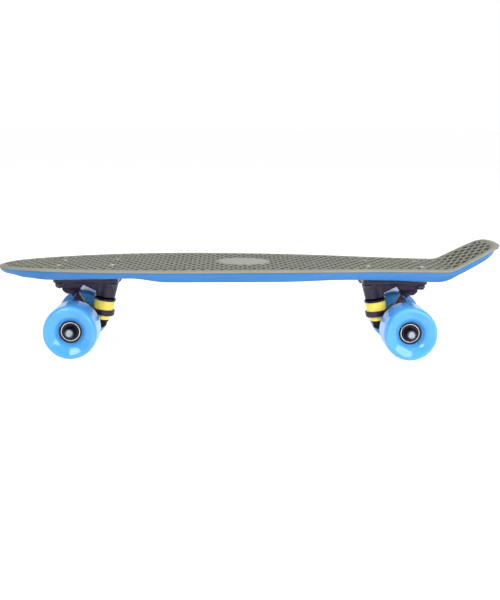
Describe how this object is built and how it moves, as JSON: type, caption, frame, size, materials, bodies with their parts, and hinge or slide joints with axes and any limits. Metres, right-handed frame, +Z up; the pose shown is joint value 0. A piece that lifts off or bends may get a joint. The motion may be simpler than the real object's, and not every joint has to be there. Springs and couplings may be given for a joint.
{
  "type": "cruiser skateboard",
  "caption": "Small moulded cruiser skateboard with a waffle grip deck, kicked tail, steering trucks with rubber bushings and cast wheels on ball bearings.",
  "frame": {"origin": "on the floor under the middle of the board, halfway along its length and width", "axes": "+Z up, +X along the board towards the kicked tail, +Y to the right of a rider who faces the nose"},
  "size_m": [0.574, 0.1512, 0.1254],
  "materials": {
    "deck_grey": "moulded, fine grip texture",
    "deck_blue": "moulded, satin",
    "truck_cast": "dark violet-black coating on cast aluminium",
    "black_plastic": "moulded, satin",
    "black_steel": "blackened steel",
    "bright_steel": "zinc plated, bright",
    "axle_steel": "turned",
    "bushing_yellow": "cast polyurethane, semi-gloss",
    "wheel_blue": "cast polyurethane, glossy"
  },
  "bodies": {
    "board": {"deck_top": "deck_grey", "deck_body": "deck_blue", "front_baseplate": "truck_cast", "front_pivot_cup": "black_plastic", "front_kingpin": "black_steel", "front_kingpin_nut": "black_steel", "front_cup_washer": "black_steel", "front_lower_washer": "black_steel", "front_upper_bushing": "bushing_yellow", "front_lower_bushing": "bushing_yellow", "front_bolt_1": "bright_steel", "front_lock_nut_1": "black_steel", "front_bolt_2": "bright_steel", "front_lock_nut_2": "black_steel", "front_bolt_3": "bright_steel", "front_lock_nut_3": "black_steel", "front_bolt_4": "bright_steel", "front_lock_nut_4": "black_steel", "rear_baseplate": "truck_cast", "rear_pivot_cup": "black_plastic", "rear_kingpin": "black_steel", "rear_kingpin_nut": "black_steel", "rear_cup_washer": "black_steel", "rear_lower_washer": "black_steel", "rear_upper_bushing": "bushing_yellow", "rear_lower_bushing": "bushing_yellow", "rear_bolt_1": "bright_steel", "rear_lock_nut_1": "black_steel", "rear_bolt_2": "bright_steel", "rear_lock_nut_2": "black_steel", "rear_bolt_3": "bright_steel", "rear_lock_nut_3": "black_steel", "rear_bolt_4": "bright_steel", "rear_lock_nut_4": "black_steel"},
    "front_hanger": {"front_hanger": "truck_cast", "front_axle": "axle_steel", "front_left_axle_nut": "black_steel", "front_right_axle_nut": "black_steel"},
    "front_left_wheel": {"front_left_tyre": "wheel_blue", "front_left_wheel_core": "black_plastic", "front_left_outer_bearing": "black_steel", "front_left_inner_bearing": "black_steel"},
    "front_right_wheel": {"front_right_tyre": "wheel_blue", "front_right_wheel_core": "black_plastic", "front_right_outer_bearing": "black_steel", "front_right_inner_bearing": "black_steel"},
    "rear_hanger": {"rear_hanger": "truck_cast", "rear_axle": "axle_steel", "rear_left_axle_nut": "black_steel", "rear_right_axle_nut": "black_steel"},
    "rear_left_wheel": {"rear_left_tyre": "wheel_blue", "rear_left_wheel_core": "black_plastic", "rear_left_outer_bearing": "black_steel", "rear_left_inner_bearing": "black_steel"},
    "rear_right_wheel": {"rear_right_tyre": "wheel_blue", "rear_right_wheel_core": "black_plastic", "rear_right_outer_bearing": "black_steel", "rear_right_inner_bearing": "black_steel"}
  },
  "joints": [
    {"name": "front_steer", "type": "hinge", "parent": "board", "child": "front_hanger", "pos_m": [-0.20545, 0, 0.073], "axis": [0.7487, 0, -0.6629], "range_deg": [-12, 12], "stiffness_Nm_per_rad": 15, "deforming": ["front_upper_bushing", "front_lower_bushing"]},
    {"name": "rear_steer", "type": "hinge", "parent": "board", "child": "rear_hanger", "pos_m": [0.18745, 0, 0.073], "axis": [-0.7487, 0, -0.6629], "range_deg": [-12, 12], "stiffness_Nm_per_rad": 15, "deforming": ["rear_upper_bushing", "rear_lower_bushing"]},
    {"name": "front_left_spin", "type": "hinge", "parent": "front_hanger", "child": "front_left_wheel", "pos_m": [-0.19745, -0.051, 0.03], "axis": [0, 1, 0], "continuous": true},
    {"name": "front_right_spin", "type": "hinge", "parent": "front_hanger", "child": "front_right_wheel", "pos_m": [-0.19745, 0.051, 0.03], "axis": [0, 1, 0], "continuous": true},
    {"name": "rear_left_spin", "type": "hinge", "parent": "rear_hanger", "child": "rear_left_wheel", "pos_m": [0.17945, -0.051, 0.03], "axis": [0, 1, 0], "continuous": true},
    {"name": "rear_right_spin", "type": "hinge", "parent": "rear_hanger", "child": "rear_right_wheel", "pos_m": [0.17945, 0.051, 0.03], "axis": [0, 1, 0], "continuous": true}
  ]
}
